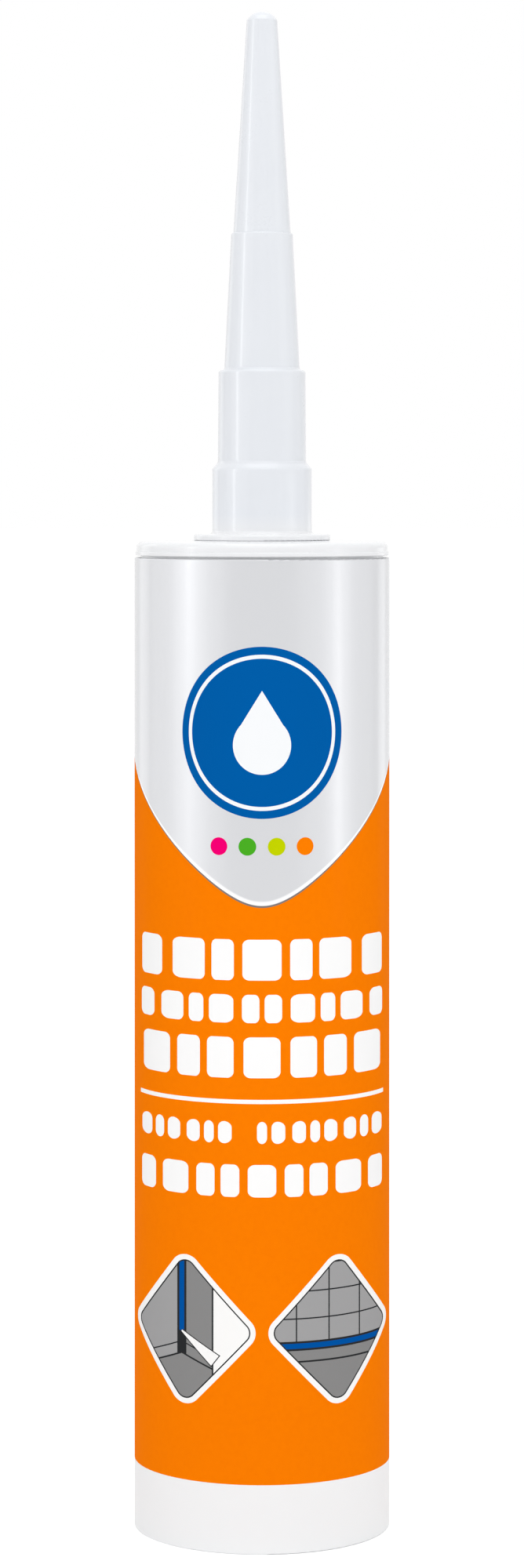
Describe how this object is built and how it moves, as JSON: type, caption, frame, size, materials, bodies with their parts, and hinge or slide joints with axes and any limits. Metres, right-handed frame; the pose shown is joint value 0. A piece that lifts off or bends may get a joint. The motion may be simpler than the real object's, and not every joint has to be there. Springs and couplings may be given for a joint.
{
  "type": "caulk cartridge",
  "caption": "Round cartridge of caulk with a stepped screw-on nozzle, standing on its open rear rim; a piston behind the fill is pushed by a caulking gun.",
  "frame": {"origin": "on the barrel's axis, in the plane of the open rear rim that it stands on", "axes": "+Z along the barrel's axis from the rear rim to the nozzle's tip; -Y is the front of the printed decoration; +X is to the right of someone who faces that front"},
  "size_m": [0.05, 0.05, 0.2968],
  "materials": {
    "barrel": "glossy white tube, printed pale grey above and orange below",
    "head": "glossy white moulding",
    "nozzle": "glossy, slightly bluish white moulding",
    "piston": "natural, waxy white moulding",
    "sealant": "white paste"
  },
  "bodies": {
    "cartridge": {"barrel": "barrel", "cartridge_head": "head", "sealant": "sealant"},
    "nozzle": {"nozzle": "nozzle"},
    "piston": {"piston": "piston"}
  },
  "joints": [
    {"name": "nozzle_lift", "type": "slide", "parent": "cartridge", "child": "nozzle", "axis": [0, 0, 1], "range_m": [0, 0.026]},
    {"name": "piston_push", "type": "slide", "parent": "cartridge", "child": "piston", "axis": [0, 0, 1], "range_m": [0, 0.158], "deforming": ["sealant"]}
  ]
}
